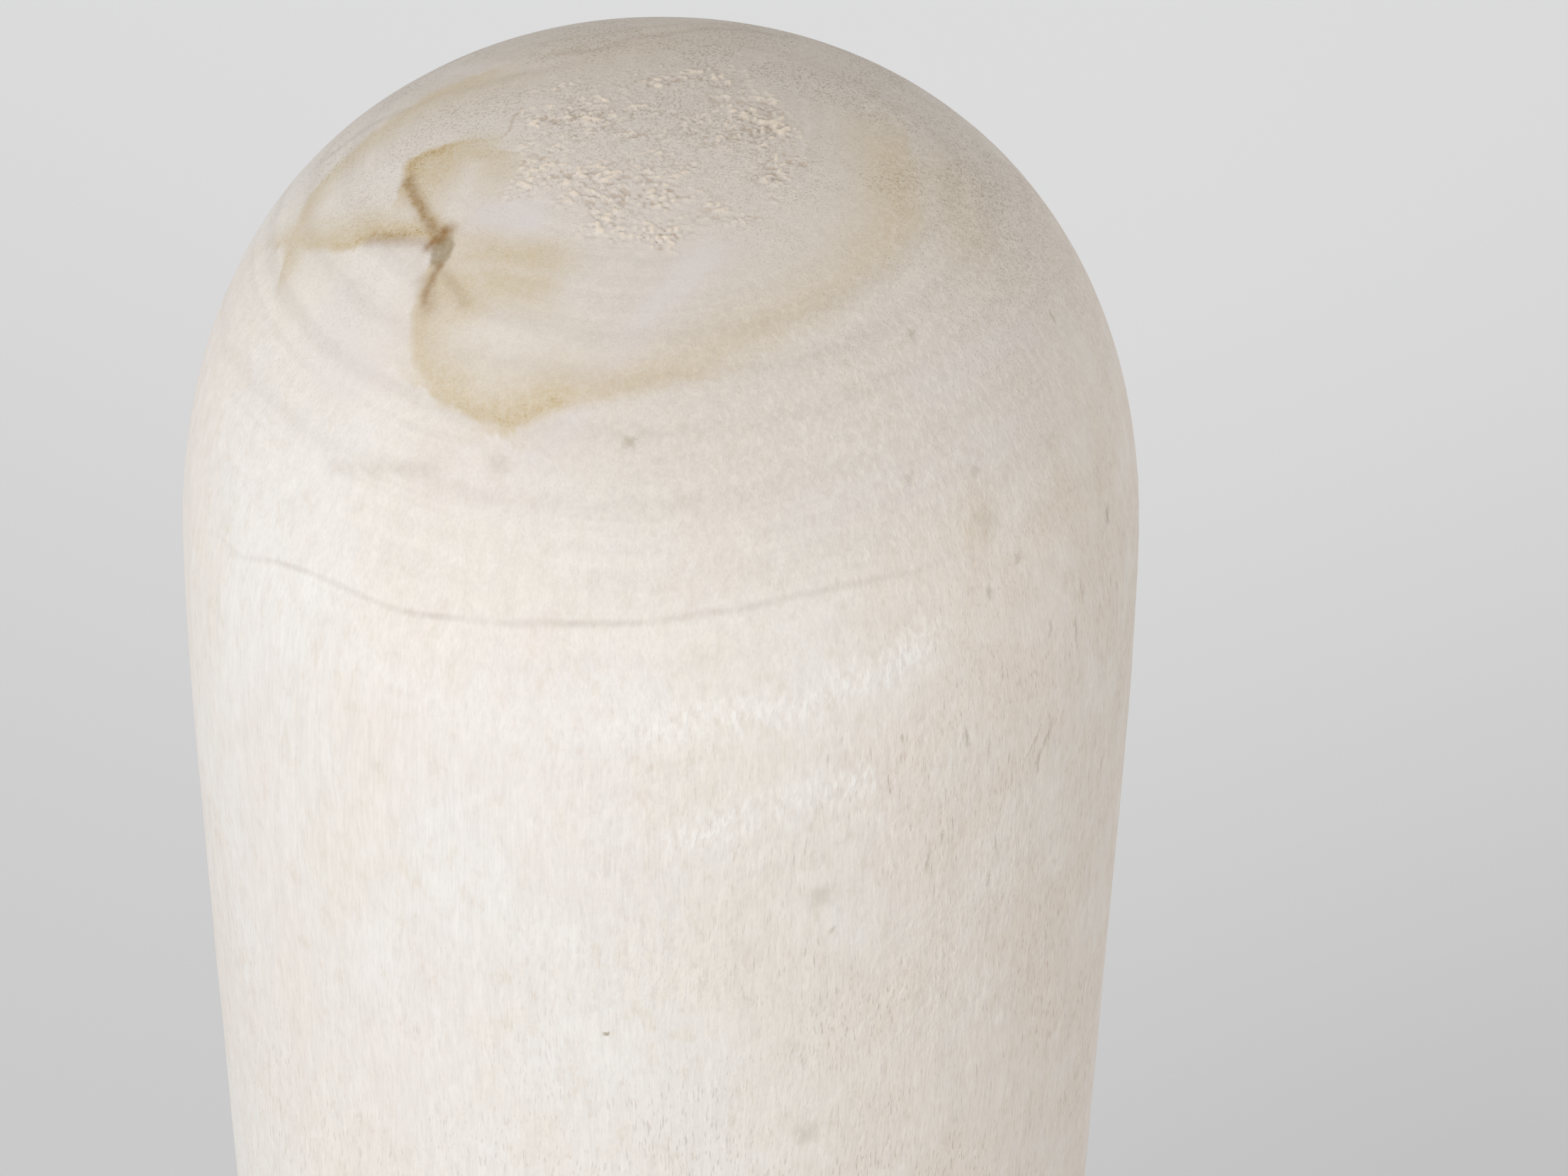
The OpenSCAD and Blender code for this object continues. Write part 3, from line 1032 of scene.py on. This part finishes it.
def add_growth(s, colour):
    """Growth rings round the pith, which are bands on end grain and barely there on a side, and
    fibres as soft streaks and fine threads. Also sets the ring lines, drawn later."""
    around = s.added(s.drift(s.mm, 0.05, 0.9), [-v for v in PITH])
    ring = s.vector("LENGTH", s.scaled(around, (1, 1, 0))).outputs["Value"]
    inputs = {"W": ring, "Scale": 0.4, "Detail": 5.0, "Roughness": 0.6}
    bands = s.node("ShaderNodeTexNoise", inputs, noise_dimensions="1D").outputs["Fac"]
    ring_shade = s.curve(bands, 0.34, 0.66, 0.024, -0.034)
    patchy = s.curve(s.noise(s.mm, 0.06, 3, 0.6), 0.38, 0.6, 0.1, 1.0)
    ring_shade = s.times(ring_shade, patchy)
    ring_shade = s.times(ring_shade, s.curve(s.up, 0.0, 0.4, 0.12, 1.0))

    slant = s.most(s.up, 0.08)
    lines = 0.0
    for radius, half, strength in RING_LINES:
        # a ring meets the surface at a slant, so its width is taken along the surface
        away = s.math("DIVIDE", s.math("SUBTRACT", ring, radius), s.times(slant, half))
        line = s.times(s.curve(s.math("ABSOLUTE", away), 1.6, 0.0), strength)
        lines = s.most(lines, line)
    broken = s.curve(s.noise(s.mm, 0.13, 4, 0.65), 0.36, 0.6, 0.4, 1.0)
    lines = s.times(s.times(lines, broken), s.curve(s.up, 0.1, 0.36))
    s.ring_lines = s.times(lines, s.curve(s.x, 42, 0, 0.2, 1.0))

    fibre = s.stretched(s.wavy, 0.085)
    s.streak = s.noise(fibre, 0.8, 3, 0.6)
    s.thread = s.noise(fibre, 3.3, 2, 0.6)
    shade = s.plus(
        s.curve(s.streak, 0.3, 0.7, -0.022, 0.022),
        s.curve(s.thread, 0.3, 0.7, -0.035, 0.03),
    )
    shade = s.plus(s.plus(shade, ring_shade), 1.0)
    lit = s.node("ShaderNodeCombineColor", {i: shade for i in range(3)}).outputs[0]
    return s.mix(1.0, colour, lit, "MULTIPLY")


def add_drawing(s, colour, marks):
    """The figure that the mesh carries, with grainy edges, and the small marks."""
    grain = s.times_plus(s.noise(s.mm, 1.6, 4, 0.7), 0.9, 0.55)
    colour = s.mix(s.times(s.field("pale"), PALE_SHOWS), colour, PALE_BAND)
    lines = s.most(s.ring_lines, s.field("arcs"))
    colour = s.mix(s.times(lines, grain, True), colour, RING_BROWN)
    freckle = s.curve(s.noise(s.mm, 3.4, 2, 0.6), 0.36, 0.66, 0.88, 1.16)
    stain = s.times(s.field("stain"), s.times(grain, freckle), True)
    colour = s.mix(stain, colour, STAIN)
    colour = s.mix(s.curve(stain, 0.75, 1.1, 0, 0.7), colour, DEEP_STAIN)
    knot = s.times(s.field("knot"), s.times(grain, KNOT_SHOWS), True)
    colour = s.mix(knot, colour, KNOT_BROWN)
    colour = s.mix(s.times(s.field("crack"), grain, True), colour, CRACK_BROWN)
    for at, half, lean, dark in marks:
        colour = s.mix(s.times(mark_share(s, at, half, lean), dark), colour, MARK_BROWN)
    return colour


def mark_share(s, at, half, lean):
    """1 on a small mark of the head, falling to 0 at its rim."""
    u, v = at
    centre = place_on_head(at)
    out = math.hypot(u, v)
    further = place_on_head((u * (1 + 1 / out), v * (1 + 1 / out)))
    downhill = (further - centre).normalized()
    sideways = Vector((-v / out, u / out, 0))
    lean = math.radians(lean)
    ahead = (downhill * math.cos(lean) + sideways * math.sin(lean)) / half[0]
    aside = (sideways * math.cos(lean) - downhill * math.sin(lean)) / half[1]
    rough = s.added(s.drift(s.drift(s.own, 0.9, 0.5), 3.4, 0.25), -centre)
    along = s.math("ABSOLUTE", s.dot(rough, ahead))
    across = s.math("ABSOLUTE", s.dot(rough, aside))
    # the same place on the head's far side stays clean
    near = s.math("GREATER_THAN", s.dot(s.own, (centre.x, centre.y, 0)), 0.0)
    return s.times(s.curve(s.most(along, across), 1.5, 0.2), near)


def add_pores(s, colour):
    """Short dark threads along the grain, and fine dots and sand on end grain."""
    pore_space = s.stretched(s.drift(s.wavy, 0.3, 0.3), 0.12)
    dashes = s.curve(s.noise(pore_space, 4.2, 1, 0.5), 0.58, 0.76)
    upright = s.curve(s.up, 0.6, 0.0, 0.5, 1.0)
    dashes = s.times(dashes, s.times(s.crisp, upright))
    dots = s.curve(s.cells(pore_space, 2.9), 0.3, 0.1)
    dots = s.times(dots, s.curve(s.up, 0.1, 0.8, 0.0, 1.0))
    dots = s.times(dots, s.curve(s.y, -46, 0, 0.2, 1.0))
    sand = s.curve(s.noise(s.mm, 3.0, 2, 0.6), 0.53, 0.7)
    sand = s.times(sand, s.curve(s.up, 0.3, 0.8))
    sand = s.times(sand, s.curve(s.y, -22, 24, 0.2, 2.0))
    hair = s.noise(s.stretched(s.wavy, 0.12), 2.4, 1, 0.5)
    hair = s.curve(hair, 0.67, 0.8)
    rightward = s.times(s.curve(s.x, -25, 25), s.curve(s.up, 0.5, 0.1))
    hair = s.times(hair, rightward)
    hair = s.times(hair, s.times_plus(s.field("speckle"), 0.7, 0.6))
    cloudy = s.curve(s.clouds, 0.36, 0.62, 0.3, 1.0)
    crowd = s.times(cloudy, s.curve(s.x, -30, 40, 0.55, 1.0))
    pore = s.most(s.most(dashes, hair), s.most(dots, sand))
    s.pore = s.times(pore, crowd, True)
    return s.mix(s.times(s.pore, PORES_SHOW), colour, PORE_BROWN)


def add_raised_fibre(s, colour):
    """Raised fibres, cream partly from the limewash they catch and partly as a painted highlight,
    with painted shadow between them; and the torn end grain's stubs, likewise cream with a painted
    highlight, and its pits in painted shade.
    """
    tufts = s.noise(s.stretched(s.mm, 0.42), 1.3, 2, 0.5)
    fleck = s.curve(tufts, 0.46, 0.68)
    bands = s.field("bands")
    rough = s.most(s.field("speckle"), bands)
    s.fleck = s.times(fleck, rough)
    shadow = s.times(s.curve(tufts, 0.46, 0.3), rough)
    # cream with a painted highlight on the flecks' tops, then painted shadow in the gaps between
    # them
    colour = s.mix(s.times(s.fleck, FLECKS_SHOW), colour, FLECK_CREAM_AND_HIGHLIGHT)
    colour = s.mix(s.times(shadow, FLECK_SHADOWS_SHOW), colour, PAINTED_PIT_SHADE)
    white = s.times(bands, s.times_plus(fleck, 0.72, 0.24), True)
    colour = s.mix(white, colour, BAND_WHITE)
    stub = s.field("stub")
    # the stubs' cream with a painted highlight, then painted shade in the pits
    colour = s.mix(s.curve(stub, 0.0, 0.6, 0, 0.66), colour, STUB_CREAM_AND_HIGHLIGHT)
    return s.mix(s.curve(stub, 0.0, -0.35, 0, 0.34), colour, PAINTED_PIT_SHADE)


def bump_height(s):
    fine = s.noise(s.stretched(s.mm, 0.3), 5.0, 3, 0.7)
    height = s.plus(s.times(s.thread, 0.85), s.times(s.streak, 0.6))
    height = s.times(height, s.crisp)
    fleck = s.times(s.fleck, s.times_plus(s.crisp, 0.5, 0.7))
    height = s.math("SUBTRACT", s.plus(height, fleck), s.times(s.pore, 0.7))
    return s.plus(height, s.times(fine, s.curve(s.up, 0.1, 0.9, 0.06, 0.55)))


def limewashed_wood(name, offset, marks):
    """Bleached and limewashed wood. offset, in mm, picks another part of the log."""
    s = Wood(name, offset)
    colour = add_growth(s, add_mottle(s, add_end_grain_and_back_shade(s, add_patches(s))))
    colour = add_raised_fibre(s, add_pores(s, add_drawing(s, colour, marks)))
    return s.finish(colour, bump_height(s), 0.12 * MM, 0.7, 0.88, 0.25, sheen=0.1)


def turned_hardwood(name):
    """The peg's bare, tight-grained hardwood."""
    s = Shader(name)
    fibre = s.stretched(s.drift(s.object_mm(), 0.06, 0.8), 0.06)
    colour = s.mix(s.curve(s.noise(fibre, 0.8, 4), 0.35, 0.65), PEG_LIGHT, PEG_DARK)
    pore = s.curve(s.cells(fibre, 1.6), 0.2, 0.08)
    colour = s.mix(s.times(pore, 0.5), colour, PEG_PORE)
    height = s.math("SUBTRACT", s.noise(fibre, 3.0, 3), s.times(pore, 0.6))
    return s.finish(colour, height, 0.06 * MM, 0.5, 0.5, 0.4)


def wool_felt(name):
    """Pressed wool felt: a mottled mat of fine crossing hairs."""
    s = Shader(name)
    mm = s.object_mm()
    hairs = s.noise(s.drift(mm, 0.8, 0.7), 4.5, 4, 0.7, 1.5)
    mottle = s.noise(mm, 0.5, 3)
    colour = s.mix(s.curve(hairs, 0.35, 0.7), FELT_DARK, FELT_LIGHT)
    colour = s.mix(s.curve(mottle, 0.4, 0.65, 0, 0.4), colour, FELT_MOTTLE)
    return s.finish(colour, hairs, 0.25 * MM, 0.8, 0.95, 0.15)


def plain_floor(name):
    """A pale matt floor with the faintest mottling. Its noise scales are per metre."""
    s = Shader(name)
    where = s.node("ShaderNodeTexCoord").outputs["Object"]
    colour = s.mix(s.noise(where, 1.2, 2), FLOOR_LIGHT, FLOOR_DARK)
    return s.finish(colour, s.noise(where, 300.0, 2), 0.02 * MM, 0.2, 0.8, 0.2)


def cover(piece, material):
    piece.data.materials.clear()
    piece.data.materials.append(material)


# ---------------------------------------------------------------- the pieces
head = turned_piece("head_turned", head_rings, head_relief, head_fields)
cover(head, limewashed_wood("limewashed_head", (0, 0, 0), MARKS))
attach(head, "turning_head")
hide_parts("head")

body = turned_piece("body_turned", body_outline(), body_relief, body_fields)
cover(body, limewashed_wood("limewashed_body", BODY_OFFSET, []))
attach(body, "lower_part")
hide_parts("body")

felt = turned_piece("felt_foot_disc", felt_outline(), felt_relief, lambda place: {})
cover(felt, wool_felt("wool_felt"))
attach(felt, "lower_part")
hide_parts("felt_foot")

cover(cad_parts["neck_peg"], turned_hardwood("turned_hardwood"))


# ---------------------------------------------------------------- floor, light and camera
AIM = Vector((0, 0, WIDE_Z))
FLOOR_HALF = 4.0
WORLD_STRENGTH = 0.75
# The key softbox: azimuth and elevation in degrees, distance and size in metres
KEY_AZIMUTH, KEY_ELEVATION = -30, 25
KEY_DISTANCE = 1.8
KEY_SIZE = 0.8
KEY_WATTS = 9.8
# The lit patch of floor: how far behind and to the right of the doll its middle is, its radius, the
# lamp's height above it and the lamp's own radius
BACKDROP_Y = 1.0
BACKDROP_X = 0.15
BACKDROP_R = 0.8
BACKDROP_H = 2.0
BACKDROP_LAMP_R = 0.05
BACKDROP_BLEND = 0.75
BACKDROP_WATTS = 38.0
# The camera: its elevation in degrees, its distance and the width of its frame where it aims, both
# in head radii, its sensor in mm, and how far the head stands left of and below the frame's middle
CAMERA_ELEVATION = 40.8
CAMERA_DISTANCE = 14
FRAME_WIDTH = 3.296
SENSOR = 36.0
SHIFT_X = 0.0785
SHIFT_Y = -0.0071


def flat_floor():
    h = FLOOR_HALF
    mesh = bpy.data.meshes.new("floor")
    mesh.from_pydata([(-h, -h, 0), (h, -h, 0), (h, h, 0), (-h, h, 0)], [], [(0, 1, 2, 3)])
    floor = placed("floor", mesh)
    cover(floor, plain_floor("plain_floor"))


def aim_from(thing, azimuth, elevation, distance):
    """Puts a lamp or camera round the doll, aimed at its head. Azimuth 90 is the doll's right."""
    a, e = math.radians(azimuth), math.radians(elevation)
    way = Vector((math.sin(a) * math.cos(e), -math.cos(a) * math.cos(e), math.sin(e)))
    thing.location = AIM + way * distance
    thing.rotation_euler = (AIM - thing.location).to_track_quat("-Z", "Y").to_euler()


def key_light():
    light = bpy.data.lights.new("key", "AREA")
    light.shape = "DISK"
    light.size = KEY_SIZE
    light.energy = KEY_WATTS
    aim_from(placed("key", light), KEY_AZIMUTH, KEY_ELEVATION, KEY_DISTANCE)


def backdrop_light():
    """Brightens the floor some way behind the doll, and doesn't reach the doll itself."""
    light = bpy.data.lights.new("backdrop", "SPOT")
    light.energy = BACKDROP_WATTS
    light.spot_size = 2 * math.atan(BACKDROP_R / BACKDROP_H)
    light.spot_blend = BACKDROP_BLEND
    light.shadow_soft_size = BACKDROP_LAMP_R
    placed("backdrop", light).location = (BACKDROP_X, BACKDROP_Y, BACKDROP_H)


def studio():
    world = bpy.data.worlds.new("studio")
    world.use_nodes = True
    background = world.node_tree.nodes["Background"]
    background.inputs["Color"].default_value = (1, 1, 1, 1)
    background.inputs["Strength"].default_value = WORLD_STRENGTH
    bpy.context.scene.world = world
    key_light()
    backdrop_light()
    bpy.context.scene.view_settings.view_transform = "Standard"


def main_camera():
    data = bpy.data.cameras.new("main_camera")
    data.sensor_width = SENSOR
    data.lens = SENSOR * CAMERA_DISTANCE / FRAME_WIDTH
    data.shift_x = SHIFT_X
    data.shift_y = SHIFT_Y
    camera = placed("main_camera", data)
    aim_from(camera, 0, CAMERA_ELEVATION, CAMERA_DISTANCE * HEAD_R)
    bpy.context.scene.camera = camera


flat_floor()
studio()
main_camera()
